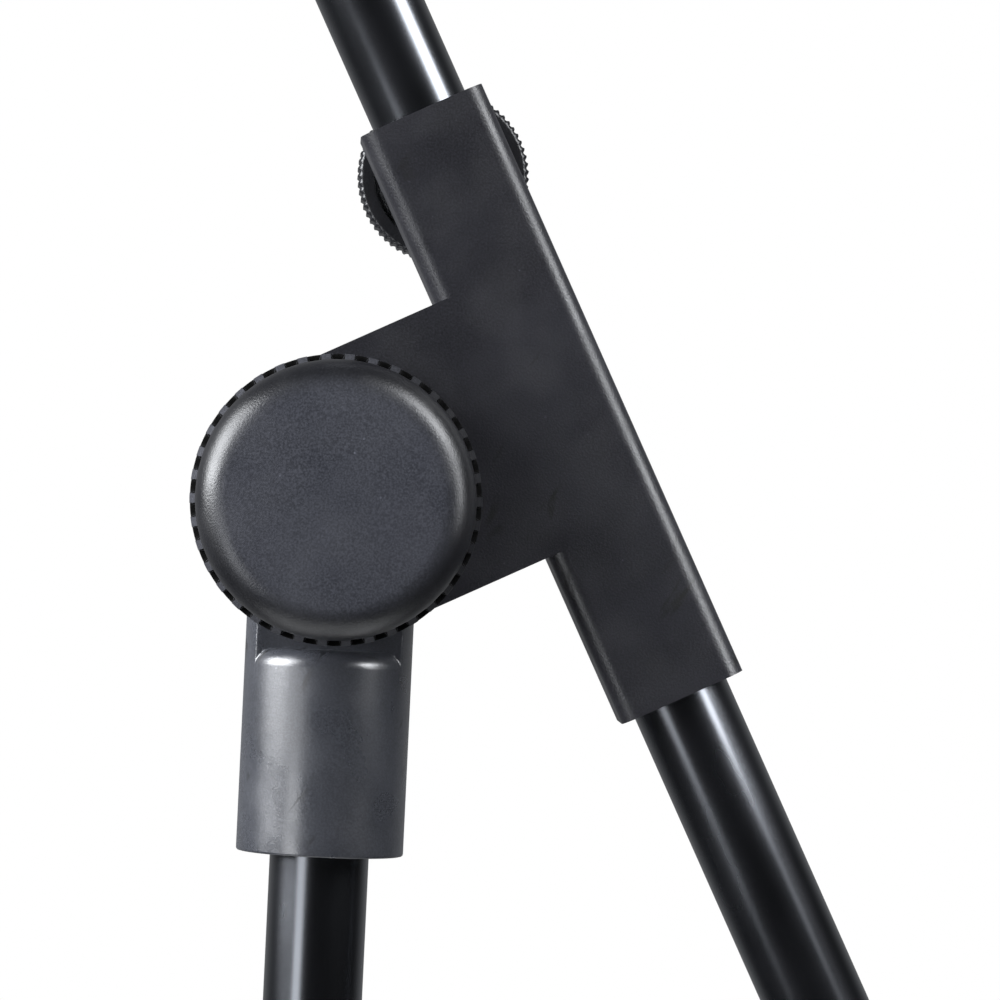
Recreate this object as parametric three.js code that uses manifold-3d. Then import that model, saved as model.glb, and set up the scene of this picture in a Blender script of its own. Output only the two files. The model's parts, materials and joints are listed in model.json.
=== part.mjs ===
// Microphone stand: a folding tripod base, a telescoping upright and a boom arm held by a tilting T-clamp.
// Millimetres, +Z up. The front of the stand faces -Y, and the boom's microphone end leans towards -X.
import * as THREE from 'three';
import { mergeVertices } from 'three/addons/utils/BufferGeometryUtils.js';
import Module from 'manifold-3d';

const wasm = await Module();
wasm.setup();

// Shared values
const DEGREE = Math.PI / 180;
const GAP = 0.3; // clearance between neighbouring pieces
const MERGE_DISTANCE = 1e-4;
const OVERLAP = 1; // how far joined shapes run into each other, and cutting shapes past a face
const EDGE = 1; // bevel of cast and moulded ends
const SIDES = 32; // sides of tubes and turned pieces
const SMALL_SIDES = 20; // sides of screws, holes and other small round shapes
const LEG_SIDES = 24;
const HEXAGON = 6;
const SCREW_R = 3.9; // threaded rods of the tilt bolt and the two clamp screws
const SCREW_HOLE_R = SCREW_R + GAP;

// Upright: the lower tube, the upper tube that telescopes in it, and the height clutch
const LOWER_TUBE_R = 11;
const LOWER_TUBE_WALL = 1.2;
const LOWER_TUBE_LOW = 48;
const LOWER_TUBE_HIGH = 848;
const TUBE_R = 8; // upper tube and boom tube
const TUBE_WALL = 1;
const UPPER_TUBE_LOW = 250;
const GLIDE_BUSH_R = 9.5;
const GLIDE_BUSH_HEIGHT = 12;
const CLUTCH_LOW = 812;
const CLUTCH_HIGH = 880;
const CLUTCH_R = 17;
const CLUTCH_NECK_R = 14.5;
const CLUTCH_NECK = 12;
const CLUTCH_TAPER_END = 20;
const CLUTCH_CHAMFER = 5;
const CLUTCH_LIP = 3;
const CLUTCH_BORE_R = 11;
const CLUTCH_SCREW_Z = 860;
const CLUTCH_BOSS_R = 8;
const CLUTCH_BOSS_REACH = 24;
const BUSH_FLANGE_R = 13;
const BUSH_FLANGE = 2.2;

// Tripod base
const HUB_LOW = 48;
const HUB_HIGH = 112;
const HUB_R = 18;
const HUB_CHAMFER = 4;
const HUB_CAP_THICKNESS = 3;
const HUB_CAP_SPIGOT = 14;
const LEG_AZIMUTHS = [90, 210, 330];
const LEG_PIN_OUT = 28; // hinge pin's distance from the pole axis
const LEG_PIN_Z = 75;
const LEG_REACH = 318; // hinge pin to the foot's outer end, along the leg
const LEG_TUBE_R = 9.5;
const LEG_TUBE_WALL = 1.2;
const LEG_TUBE_START = 15;
const LUG_R = 9;
const LUG_THICKNESS = 10;
const LUG_PLUG_END = 42;
const CHEEK_GAP = 10.6;
const CHEEK_THICKNESS = 4.5;
const CHEEK_R = 11;
const CHEEK_ROOT_R = 13; // inside the hub
const CHEEK_ROOT_ABOVE = 13; // above the hinge pin
const CHEEK_CORNER_OUT = 4; // beyond the hinge pin
const CHEEK_CORNER_Z = 54;
const CHEEK_ARC_START = -30 * DEGREE;
const WEB_OUT = 34;
const WEB_LOW = 53;
const WEB_HIGH = 61;
const LEG_COLLAR = 2;
const LEG_BOLT_R = 2.9;
const LEG_BOLT_HEAD_R = 5.5;
const LEG_BOLT_HEAD = 3.5;
const FOOT_R = 13;
const FOOT_LENGTH = 36;
const FOOT_END_WALL = 5;
const FOOT_ROUNDING = 3;
const FOOT_FLAT = 2.5; // how far the foot's underside is flattened against the floor
const LEG_SLOPE = Math.asin((LEG_PIN_Z - FOOT_R + FOOT_FLAT) / LEG_REACH);
const HUB_SCREW_AZIMUTH = 30;
const HUB_SCREW_Z = 100;
const HUB_SCREW_HEAD_R = 4.5;
const HUB_SCREW_HEAD = 3;

// Tilt joint, measured from the tilt pivot. The pivot axis runs along Y.
const PIVOT_Z = 1100;
const BOOM_LEAN = 26.7 * DEGREE;
const SOCKET_R = 13.5;
const SOCKET_DROP = 57;
const SOCKET_STEP_DROP = 24.8;
const SOCKET_BORE_DROP = 31;
const EAR_HALF_DEPTH = 8.3;
const FRICTION_DISC_R = 13;
const FRICTION_DISC = 1;
const SLAB_R = 22;
const SLAB_FRONT = -18.5;
const SLAB_BACK = -(EAR_HALF_DEPTH + FRICTION_DISC + 2 * GAP);
const TILT_WASHER_R = 10;
const TILT_WASHER = 1.5;
const KNOB_BACK = SLAB_FRONT - TILT_WASHER - 2 * GAP;
const KNOB_FRONT = -33.5;
const KNOB_R = 23;
const KNOB_GROOVES = 38;
const KNOB_GROOVE_DEPTH = 1.6;
const KNOB_RIB_SHARE = 0.5; // of the groove pitch
const KNOB_GROOVE_SHARES = [0.55, 0.95];
const KNOB_FLANGE = 2;
const KNOB_SHOULDER_R = 22;
const KNOB_FACE_R = 16.4;
const KNOB_ROUNDING_STEPS = 6;
const INSERT_R = 6;
const INSERT_LENGTH = 9;
const BOLT_TIP = -29;
const BOLT_HEAD_R = 7.3;
const BOLT_HEAD = 5.3;
const BOLT_WASHER_R = 8;
const BOLT_WASHER = 1.5;

// Boom clamp and boom, in the frame of the clamp: Z along the boom, X from the pivot towards the boom
const BOOM_OFFSET = 37.5;
const BOOM_AXIS_Y = -8;
const SLEEVE_WIDTH = 21;
const SLEEVE_HALF_LENGTH = 51;
const SLEEVE_ROUNDING = 3;
const SLEEVE_ROUNDING_STEPS = 5;
const LOCK_UP = 41.2; // clamp screw's distance from the pivot, along the boom
const LOCK_BOSS_R = 9;
const LOCK_BOSS_END = 7;
const BOOM_TAIL = -261;
const BOOM_FRONT = 560;
const TAIL_CAP_R = 9.6;
const TAIL_CAP_COVER = 12;
const TAIL_CAP_END = 2.5;
const TIP_PLUG = 20;
const TIP_FLANGE = 4;
const TIP_STUD_R = 4.75; // 3/8 inch microphone thread
const TIP_STUD = 18;
const COUNTER_NUT_R = 12;
const COUNTER_NUT = 10;
const COUNTER_NUT_TEETH = 24;
const COUNTER_NUT_TOOTH = 1;

// Side knobs of the boom clamp and the height clutch
const SIDE_KNOB_R = 14;
const SIDE_KNOB_TEETH = 69;
const SIDE_KNOB_TOOTH = 0.8;
const SIDE_KNOB_LENGTH = 16;
const SIDE_KNOB_RIM_R = 11.1;
const SIDE_KNOB_RECESS = 8;
const SIDE_KNOB_STANDOFF = 1;
const SIDE_SCREW_IN_KNOB = 14;
const PAD_LENGTH = 2;

// The boom and the long rear leg are balanced about the origin by standing the pole a quarter reach forwards.
const POLE_Y = -0.25 * (LEG_PIN_OUT + LEG_REACH * Math.cos(LEG_SLOPE));

const castBlack = finish(0x202124, 0.5, 0.1);
const mouldedBlack = finish(0x2b2e33, 0.55, 0);
const glossBlack = finish(0x0a0a0b, 0.16, 0.1);
const rubberBlack = finish(0x141415, 0.9, 0);
const nylon = finish(0xd9d6cc, 0.5, 0);
const fibre = finish(0x3a3128, 0.8, 0);
const zinc = finish(0xb6b9bd, 0.35, 1);
const brass = finish(0xb28f4e, 0.35, 1);

function finish(color, roughness, metalness) {
  return new THREE.MeshStandardMaterial({ color, roughness, metalness });
}

// Solids ---------------------------------------------------------------------------------------------------------

function volumeOf(points, triangles) {
  const corners = [new THREE.Vector3(), new THREE.Vector3(), new THREE.Vector3()];
  let volume = 0;
  for (let i = 0; i < triangles.length; i += 3) {
    corners.forEach((corner, k) => corner.fromArray(points, 3 * triangles[i + k]));
    volume += corners[0].dot(corners[1].cross(corners[2])) / 6;
  }
  return volume;
}

// Turns a closed three.js geometry into a solid that faces outwards.
function solid(geometry) {
  geometry.deleteAttribute('normal');
  geometry.deleteAttribute('uv');
  const merged = mergeVertices(geometry, MERGE_DISTANCE);
  const index = merged.index.array;
  const points = new Float32Array(merged.attributes.position.array);
  const triangles = [];
  for (let i = 0; i < index.length; i += 3) {
    const [a, b, c] = index.slice(i, i + 3);
    if (a !== b && b !== c && c !== a) triangles.push(a, b, c);
  }
  if (volumeOf(points, triangles) < 0) triangles.reverse();
  const mesh = new wasm.Mesh({ numProp: 3, vertProperties: points, triVerts: new Uint32Array(triangles) });
  return new wasm.Manifold(mesh);
}

function geometryOf(body) {
  const mesh = body.getMesh();
  const geometry = new THREE.BufferGeometry();
  geometry.setAttribute('position', new THREE.BufferAttribute(new Float32Array(mesh.vertProperties), 3));
  geometry.setIndex(new THREE.BufferAttribute(new Uint32Array(mesh.triVerts), 1));
  geometry.computeVertexNormals();
  return geometry;
}

function place(parent, name, body, material) {
  const mesh = new THREE.Mesh(geometryOf(body), material);
  mesh.name = name;
  parent.add(mesh);
  return mesh;
}

function union(bodies) {
  return bodies.reduce((whole, body) => whole.add(body));
}

function rodZ(radius, low, high, sides = SIDES) {
  const geometry = new THREE.CylinderGeometry(radius, radius, high - low, sides);
  geometry.rotateX(Math.PI / 2);
  geometry.translate(0, 0, (low + high) / 2);
  return solid(geometry);
}

function rodY(radius, low, high, sides = SIDES) {
  const geometry = new THREE.CylinderGeometry(radius, radius, high - low, sides);
  geometry.translate(0, (low + high) / 2, 0);
  return solid(geometry);
}

function box(low, high) {
  const size = high.map((value, k) => value - low[k]);
  const geometry = new THREE.BoxGeometry(...size);
  geometry.translate(...low.map((value, k) => value + size[k] / 2));
  return solid(geometry);
}

// Turns [radius, height] points round the Z axis. The outline closes on itself.
function turned(outline, sides = SIDES) {
  const points = [...outline, outline[0]].map(([radius, height]) => new THREE.Vector2(radius, height));
  const geometry = new THREE.LatheGeometry(points, sides);
  geometry.rotateX(Math.PI / 2);
  return solid(geometry);
}

function ringZ(inner, outer, low, high, sides = SIDES) {
  return turned([[inner, low], [outer, low], [outer, high], [inner, high]], sides);
}

// Extrudes an outline drawn in X and Z from the plane y = front to the plane y = back.
function plate(shape, front, back, curveSegments = SIDES / 2) {
  const options = { depth: back - front, bevelEnabled: false, curveSegments };
  const geometry = new THREE.ExtrudeGeometry(shape, options);
  geometry.rotateX(Math.PI / 2);
  geometry.translate(0, back, 0);
  return solid(geometry);
}

// A round outline with pointed teeth.
function toothedShape(tipR, rootR, teeth) {
  const shape = new THREE.Shape();
  const step = Math.PI / teeth;
  for (let i = 0; i < 2 * teeth; i += 1) {
    const radius = i % 2 ? rootR : tipR;
    const point = [radius * Math.cos(i * step), radius * Math.sin(i * step)];
    if (i === 0) shape.moveTo(...point);
    else shape.lineTo(...point);
  }
  shape.closePath();
  return shape;
}

// A round outline with square grooves, as wide as the ribs between them.
function groovedShape(outerR, grooveR, grooves) {
  const shape = new THREE.Shape();
  const step = (2 * Math.PI) / grooves;
  for (let i = 0; i < grooves; i += 1) {
    const start = i * step;
    const floor = KNOB_GROOVE_SHARES.map((share) => [grooveR, share]);
    const corners = [[outerR, 0], [outerR, KNOB_RIB_SHARE], ...floor];
    for (const [radius, share] of corners) {
      const angle = start + share * step;
      const point = [radius * Math.cos(angle), radius * Math.sin(angle)];
      if (i === 0 && share === 0) shape.moveTo(...point);
      else shape.lineTo(...point);
    }
  }
  shape.closePath();
  return shape;
}

function roundedRectangle(centreX, centreY, width, height, rounding) {
  const left = centreX - width / 2;
  const right = centreX + width / 2;
  const low = centreY - height / 2;
  const high = centreY + height / 2;
  const shape = new THREE.Shape();
  shape.moveTo(left + rounding, low);
  shape.absarc(right - rounding, low + rounding, rounding, -Math.PI / 2, 0);
  shape.absarc(right - rounding, high - rounding, rounding, 0, Math.PI / 2);
  shape.absarc(left + rounding, high - rounding, rounding, Math.PI / 2, Math.PI);
  shape.absarc(left + rounding, low + rounding, rounding, Math.PI, 1.5 * Math.PI);
  return shape;
}

// Tripod base ----------------------------------------------------------------------------------------------------

// One side of a leg's clevis, drawn with X outwards from the pole.
function cheekShape() {
  const shape = new THREE.Shape();
  shape.moveTo(CHEEK_ROOT_R, HUB_LOW + 2 * EDGE);
  shape.lineTo(LEG_PIN_OUT + CHEEK_CORNER_OUT, CHEEK_CORNER_Z);
  shape.absarc(LEG_PIN_OUT, LEG_PIN_Z, CHEEK_R, CHEEK_ARC_START, Math.PI / 2);
  shape.lineTo(CHEEK_ROOT_R, LEG_PIN_Z + CHEEK_ROOT_ABOVE);
  shape.closePath();
  return shape;
}

function clevis() {
  const inside = CHEEK_GAP / 2;
  const outside = inside + CHEEK_THICKNESS;
  const halfWeb = inside + OVERLAP;
  const shape = cheekShape();
  const web = box([CHEEK_ROOT_R, -halfWeb, WEB_LOW], [WEB_OUT, halfWeb, WEB_HIGH]);
  const cheeks = [plate(shape, -outside, -inside, LEG_SIDES / 3), plate(shape, inside, outside, LEG_SIDES / 3)];
  return union([...cheeks, web]);
}

function clevisHole() {
  return rodY(LEG_BOLT_R + GAP, -HUB_R, HUB_R, SMALL_SIDES).translate([LEG_PIN_OUT, 0, LEG_PIN_Z]);
}

function rodX(radius, low, high, sides) {
  return rodZ(radius, low, high, sides).rotate([0, 90, 0]);
}

function tripodHub() {
  const boss = turned([
    [0, HUB_LOW], [HUB_R - 2 * EDGE, HUB_LOW], [HUB_R, HUB_LOW + 2 * EDGE],
    [HUB_R, HUB_HIGH - HUB_CHAMFER], [HUB_R - HUB_CHAMFER, HUB_HIGH], [0, HUB_HIGH],
  ]);
  const clevises = LEG_AZIMUTHS.map((azimuth) => clevis().rotate([0, 0, azimuth]));
  const holes = LEG_AZIMUTHS.map((azimuth) => clevisHole().rotate([0, 0, azimuth]));
  const bore = rodZ(LOWER_TUBE_R + GAP, HUB_LOW - OVERLAP, HUB_HIGH + OVERLAP);
  const screwHole = rodX(LEG_BOLT_R + GAP, 0, HUB_R + OVERLAP, SMALL_SIDES).rotate([0, 0, HUB_SCREW_AZIMUTH]);
  const cuts = union([...holes, bore, screwHole.translate([0, 0, HUB_SCREW_Z])]);
  return union([boss, ...clevises]).subtract(cuts);
}

function hubCap() {
  const inner = LOWER_TUBE_R - LOWER_TUBE_WALL - GAP;
  const top = HUB_LOW - GAP;
  return turned([
    [0, top - HUB_CAP_THICKNESS], [HUB_R - EDGE, top - HUB_CAP_THICKNESS], [HUB_R - EDGE, top],
    [inner, top], [inner, top + HUB_CAP_SPIGOT], [0, top + HUB_CAP_SPIGOT],
  ]);
}

function hubScrew() {
  const seat = HUB_R + GAP;
  const shank = rodX(LEG_BOLT_R, LOWER_TUBE_R + GAP, seat + OVERLAP, SMALL_SIDES);
  const head = rodX(HUB_SCREW_HEAD_R, seat, seat + HUB_SCREW_HEAD, SMALL_SIDES);
  return shank.add(head).rotate([0, 0, HUB_SCREW_AZIMUTH]).translate([0, 0, HUB_SCREW_Z]);
}

function legLug() {
  const shape = new THREE.Shape();
  shape.moveTo(0, -LUG_R);
  shape.lineTo(LEG_TUBE_START, -LUG_R);
  shape.lineTo(LEG_TUBE_START, LUG_R);
  shape.lineTo(0, LUG_R);
  shape.absarc(0, 0, LUG_R, Math.PI / 2, 1.5 * Math.PI);
  const tongue = plate(shape, -LUG_THICKNESS / 2, LUG_THICKNESS / 2, LEG_SIDES / 3);
  const collar = rodX(LEG_TUBE_R, LEG_TUBE_START - OVERLAP, LEG_TUBE_START + LEG_COLLAR, LEG_SIDES);
  const plug = rodX(LEG_TUBE_R - LEG_TUBE_WALL - GAP, LEG_TUBE_START, LUG_PLUG_END, LEG_SIDES);
  return union([tongue, collar, plug]).subtract(rodY(LEG_BOLT_R + GAP, -HUB_R, HUB_R, SMALL_SIDES));
}

function legTube() {
  const start = LEG_TUBE_START + LEG_COLLAR + GAP;
  const end = LEG_REACH - FOOT_END_WALL - GAP;
  return ringZ(LEG_TUBE_R - LEG_TUBE_WALL, LEG_TUBE_R, start, end, LEG_SIDES).rotate([0, 90, 0]);
}

// The foot is drawn along the leg, tilted to the leg's slope and flattened where it meets the floor.
function legFoot() {
  const start = LEG_REACH - FOOT_LENGTH;
  const bore = LEG_TUBE_R + GAP;
  const cup = turned([
    [bore, start], [FOOT_R - EDGE, start], [FOOT_R, start + EDGE], [FOOT_R, LEG_REACH - FOOT_ROUNDING],
    [FOOT_R - EDGE, LEG_REACH - EDGE], [FOOT_R - FOOT_ROUNDING, LEG_REACH], [0, LEG_REACH],
    [0, LEG_REACH - FOOT_END_WALL], [bore, LEG_REACH - FOOT_END_WALL],
  ], LEG_SIDES);
  const lying = cup.rotate([0, 90, 0]).rotate([0, LEG_SLOPE / DEGREE, 0]).translate([LEG_PIN_OUT, 0, LEG_PIN_Z]);
  const underFloor = box([0, -2 * FOOT_R, -2 * FOOT_R], [LEG_PIN_OUT + LEG_REACH, 2 * FOOT_R, 0]);
  return lying.subtract(underFloor);
}

function legBolt() {
  const seat = CHEEK_GAP / 2 + CHEEK_THICKNESS + GAP;
  const shank = rodY(LEG_BOLT_R, -seat - OVERLAP, seat + OVERLAP, SMALL_SIDES);
  const head = rodY(LEG_BOLT_HEAD_R, -seat - LEG_BOLT_HEAD, -seat, HEXAGON);
  const nut = rodY(LEG_BOLT_HEAD_R, seat, seat + LEG_BOLT_HEAD, HEXAGON);
  return union([shank, head, nut]);
}

function addLeg(stand, number, azimuth) {
  const direction = new THREE.Group();
  direction.rotation.z = azimuth * DEGREE;
  const leg = new THREE.Group();
  leg.position.set(LEG_PIN_OUT, 0, LEG_PIN_Z);
  leg.rotation.y = LEG_SLOPE;
  place(leg, `leg_hinge_lug_${number}`, legLug(), castBlack);
  place(leg, `leg_tube_${number}`, legTube(), glossBlack);
  place(direction, `leg_foot_${number}`, legFoot(), rubberBlack);
  const bolt = place(direction, `leg_bolt_${number}`, legBolt(), zinc);
  bolt.position.set(LEG_PIN_OUT, 0, LEG_PIN_Z);
  direction.add(leg);
  stand.add(direction);
}

function addBase(stand) {
  place(stand, 'tripod_hub', tripodHub(), castBlack);
  place(stand, 'hub_cap', hubCap(), mouldedBlack);
  place(stand, 'hub_screw', hubScrew(), zinc);
  LEG_AZIMUTHS.forEach((azimuth, k) => addLeg(stand, k + 1, azimuth));
}

// Upright --------------------------------------------------------------------------------------------------------

function lowerTube() {
  return ringZ(LOWER_TUBE_R - LOWER_TUBE_WALL, LOWER_TUBE_R, LOWER_TUBE_LOW, LOWER_TUBE_HIGH);
}

function heightClutch() {
  const lip = LOWER_TUBE_HIGH + GAP;
  const boreR = LOWER_TUBE_R + GAP;
  const body = turned([
    [boreR, CLUTCH_LOW], [CLUTCH_NECK_R, CLUTCH_LOW], [CLUTCH_NECK_R, CLUTCH_LOW + CLUTCH_NECK],
    [CLUTCH_R, CLUTCH_LOW + CLUTCH_TAPER_END], [CLUTCH_R, CLUTCH_HIGH - CLUTCH_CHAMFER], [CLUTCH_NECK_R, CLUTCH_HIGH],
    [CLUTCH_BORE_R, CLUTCH_HIGH], [CLUTCH_BORE_R, lip + CLUTCH_LIP], [GLIDE_BUSH_R, lip + CLUTCH_LIP],
    [GLIDE_BUSH_R, lip], [boreR, lip],
  ]);
  const bossRoot = -CLUTCH_R + 2 * OVERLAP;
  const boss = rodY(CLUTCH_BOSS_R, -CLUTCH_BOSS_REACH, bossRoot, SMALL_SIDES);
  const hole = rodY(SCREW_HOLE_R, -CLUTCH_BOSS_REACH - OVERLAP, 0, SMALL_SIDES);
  return body.add(boss.translate([0, 0, CLUTCH_SCREW_Z])).subtract(hole.translate([0, 0, CLUTCH_SCREW_Z]));
}

function clutchBush() {
  const inner = TUBE_R + GAP;
  const outer = CLUTCH_BORE_R - GAP;
  const low = LOWER_TUBE_HIGH + CLUTCH_LIP + 2 * GAP;
  const flange = CLUTCH_HIGH + GAP;
  const body = turned([
    [inner, low], [outer, low], [outer, flange], [BUSH_FLANGE_R, flange],
    [BUSH_FLANGE_R, flange + BUSH_FLANGE], [inner, flange + BUSH_FLANGE],
  ]);
  const hole = rodY(SCREW_HOLE_R, -CLUTCH_R, 0, SMALL_SIDES);
  return body.subtract(hole.translate([0, 0, CLUTCH_SCREW_Z]));
}

function upperTube() {
  const top = PIVOT_Z - SOCKET_BORE_DROP - GAP;
  return ringZ(TUBE_R - TUBE_WALL, TUBE_R, UPPER_TUBE_LOW, top);
}

function glideBush() {
  const spigot = TUBE_R - TUBE_WALL - GAP;
  const top = UPPER_TUBE_LOW - GAP;
  return turned([
    [0, top - GLIDE_BUSH_HEIGHT], [GLIDE_BUSH_R, top - GLIDE_BUSH_HEIGHT], [GLIDE_BUSH_R, top],
    [spigot, top], [spigot, top + GLIDE_BUSH_HEIGHT], [0, top + GLIDE_BUSH_HEIGHT],
  ]);
}

function addUpright(stand) {
  place(stand, 'lower_tube', lowerTube(), glossBlack);
  place(stand, 'height_clutch', heightClutch(), castBlack);
  place(stand, 'clutch_bush', clutchBush(), mouldedBlack);
  place(stand, 'upper_tube', upperTube(), glossBlack);
  place(stand, 'glide_bush', glideBush(), nylon);
}

// Side knobs -----------------------------------------------------------------------------------------------------

// Each is drawn on the Y axis with its screw pointing to -Y and its tube's surface at y = 0.
function sideKnob(boss) {
  const rim = boss + SIDE_KNOB_STANDOFF;
  const shape = toothedShape(SIDE_KNOB_R, SIDE_KNOB_R - SIDE_KNOB_TOOTH, SIDE_KNOB_TEETH);
  const body = plate(shape, rim, rim + SIDE_KNOB_LENGTH);
  const recess = rodY(SIDE_KNOB_RIM_R, rim - OVERLAP, rim + SIDE_KNOB_RECESS);
  const pocket = rodY(SCREW_HOLE_R, rim, rim + SIDE_SCREW_IN_KNOB, SMALL_SIDES);
  return body.subtract(recess.add(pocket));
}

function sideScrew(boss) {
  const tip = 2 * GAP + PAD_LENGTH;
  return rodY(SCREW_R, tip, boss + SIDE_KNOB_STANDOFF + SIDE_SCREW_IN_KNOB - GAP, SMALL_SIDES);
}

function sidePad() {
  return rodY(SCREW_R, GAP, GAP + PAD_LENGTH, SMALL_SIDES);
}

// Places a knob, its screw and its pad in a group whose Y axis points out of the clamp, from the tube's surface.
function addSideKnob(parent, prefix, boss) {
  place(parent, `${prefix}_knob`, sideKnob(boss), mouldedBlack);
  place(parent, `${prefix}_screw`, sideScrew(boss), zinc);
  place(parent, `${prefix}_pad`, sidePad(), brass);
}

function addHeightLock(stand) {
  const lock = new THREE.Group();
  lock.position.set(0, -TUBE_R, CLUTCH_SCREW_Z);
  lock.rotation.z = Math.PI;
  addSideKnob(lock, 'height', CLUTCH_BOSS_REACH - TUBE_R);
  stand.add(lock);
}

// Tilt joint -----------------------------------------------------------------------------------------------------

// The side view of the socket's domed top, with everything below it.
function domeShape() {
  const halfWidth = SOCKET_R + OVERLAP;
  const low = -SOCKET_DROP - OVERLAP;
  const shape = new THREE.Shape();
  shape.moveTo(-halfWidth, low);
  shape.lineTo(halfWidth, low);
  shape.lineTo(halfWidth, 0);
  shape.absarc(0, 0, SOCKET_R, 0, Math.PI);
  shape.lineTo(-halfWidth, 0);
  return shape;
}

function socket() {
  const top = SOCKET_R + OVERLAP;
  const body = turned([
    [0, -SOCKET_DROP], [SOCKET_R - EDGE, -SOCKET_DROP], [SOCKET_R, -SOCKET_DROP + EDGE], [SOCKET_R, top], [0, top],
  ]);
  const far = 2 * SOCKET_R;
  const front = box([-far, -far, -SOCKET_STEP_DROP], [far, -EAR_HALF_DEPTH, far]);
  const back = box([-far, EAR_HALF_DEPTH, -SOCKET_STEP_DROP], [far, far, far]);
  const tubeBore = rodZ(TUBE_R + GAP, -SOCKET_DROP - OVERLAP, -SOCKET_BORE_DROP);
  const boltHole = rodY(SCREW_HOLE_R, -far, far, SMALL_SIDES);
  const cuts = union([front, back, tubeBore, boltHole]);
  return body.intersect(plate(domeShape(), -far, far)).subtract(cuts);
}

// A flat ring on the Y axis.
function washer(inner, outer, front, back) {
  return ringZ(inner, outer, front, back).rotate([-90, 0, 0]);
}

function tiltBolt() {
  const seat = EAR_HALF_DEPTH + BOLT_WASHER + 2 * GAP;
  const shank = rodY(SCREW_R, BOLT_TIP, seat + OVERLAP, SMALL_SIDES);
  return shank.add(rodY(BOLT_HEAD_R, seat, seat + BOLT_HEAD, HEXAGON));
}

function tiltKnob() {
  const rounding = KNOB_SHOULDER_R - KNOB_FACE_R;
  const shoulder = -KNOB_FRONT - rounding;
  const back = -KNOB_BACK - OVERLAP;
  const outline = [[0, back], [KNOB_SHOULDER_R, back], [KNOB_SHOULDER_R, shoulder]];
  for (let k = 1; k <= KNOB_ROUNDING_STEPS; k += 1) {
    const angle = (k / KNOB_ROUNDING_STEPS) * (Math.PI / 2);
    outline.push([KNOB_FACE_R + rounding * Math.cos(angle), shoulder + rounding * Math.sin(angle)]);
  }
  outline.push([0, -KNOB_FRONT]);
  const dome = turned(outline, KNOB_GROOVES).rotate([90, 0, 0]);
  const ribs = groovedShape(KNOB_R, KNOB_R - KNOB_GROOVE_DEPTH, KNOB_GROOVES);
  const grip = plate(ribs, -shoulder, KNOB_BACK - KNOB_FLANGE);
  const flange = rodY(KNOB_R, KNOB_BACK - KNOB_FLANGE - OVERLAP, KNOB_BACK, 2 * KNOB_GROOVES);
  const pocket = rodY(INSERT_R + GAP, KNOB_BACK - INSERT_LENGTH - GAP, 0, SMALL_SIDES);
  return union([dome, grip, flange]).trimByPlane([0, -1, 0], -KNOB_BACK).subtract(pocket);
}

function sleeve() {
  const section = roundedRectangle(BOOM_OFFSET, BOOM_AXIS_Y, SLEEVE_WIDTH, SLEEVE_WIDTH, SLEEVE_ROUNDING);
  const depth = 2 * SLEEVE_HALF_LENGTH;
  const options = { depth, bevelEnabled: false, curveSegments: SLEEVE_ROUNDING_STEPS };
  return solid(new THREE.ExtrudeGeometry(section, options)).translate([0, 0, -SLEEVE_HALF_LENGTH]);
}

// The flat arm that turns on the tilt bolt, round at its free end.
function slab() {
  const shape = new THREE.Shape();
  shape.moveTo(BOOM_OFFSET, SLAB_R);
  shape.lineTo(0, SLAB_R);
  shape.absarc(0, 0, SLAB_R, Math.PI / 2, 1.5 * Math.PI);
  shape.lineTo(BOOM_OFFSET, -SLAB_R);
  return plate(shape, SLAB_FRONT, SLAB_BACK);
}

function boomClamp() {
  const sleeveBack = BOOM_AXIS_Y + SLEEVE_WIDTH / 2;
  const boss = rodY(LOCK_BOSS_R, sleeveBack - OVERLAP, LOCK_BOSS_END, LEG_SIDES);
  const screwHole = rodY(SCREW_HOLE_R, BOOM_AXIS_Y, LOCK_BOSS_END + OVERLAP, SMALL_SIDES);
  const far = SLEEVE_HALF_LENGTH + OVERLAP;
  const bore = rodZ(TUBE_R + GAP, -far, far).translate([BOOM_OFFSET, BOOM_AXIS_Y, 0]);
  const boltHole = rodY(SCREW_HOLE_R, SLAB_FRONT - OVERLAP, 0, SMALL_SIDES);
  const lockPlace = [BOOM_OFFSET, 0, LOCK_UP];
  const cuts = union([bore, screwHole.translate(lockPlace), boltHole]);
  return union([sleeve(), slab(), boss.translate(lockPlace)]).subtract(cuts);
}

function addTiltJoint(stand) {
  const joint = new THREE.Group();
  joint.position.z = PIVOT_Z;
  const behind = EAR_HALF_DEPTH + GAP;
  const disc = washer(SCREW_HOLE_R, FRICTION_DISC_R, -behind - FRICTION_DISC, -behind);
  const insert = washer(SCREW_HOLE_R, INSERT_R, KNOB_BACK - INSERT_LENGTH, KNOB_BACK);
  place(joint, 'socket', socket(), castBlack);
  place(joint, 'friction_disc', disc, fibre);
  place(joint, 'tilt_bolt', tiltBolt(), zinc);
  place(joint, 'tilt_bolt_washer', washer(SCREW_HOLE_R, BOLT_WASHER_R, behind, behind + BOLT_WASHER), zinc);
  place(joint, 'tilt_washer', washer(SCREW_HOLE_R, TILT_WASHER_R, KNOB_BACK + GAP, SLAB_FRONT - GAP), zinc);
  place(joint, 'tilt_knob', tiltKnob(), mouldedBlack);
  place(joint, 'tilt_knob_insert', insert, brass);
  stand.add(joint);
}

// Boom -----------------------------------------------------------------------------------------------------------

function boomTip() {
  const plugR = TUBE_R - TUBE_WALL - GAP;
  const seat = BOOM_FRONT + GAP;
  return turned([
    [0, seat - TIP_PLUG], [plugR, seat - TIP_PLUG], [plugR, seat], [TUBE_R, seat],
    [TUBE_R, seat + TIP_FLANGE], [TIP_STUD_R, seat + TIP_FLANGE],
    [TIP_STUD_R, seat + TIP_FLANGE + TIP_STUD], [0, seat + TIP_FLANGE + TIP_STUD],
  ]);
}

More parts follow.
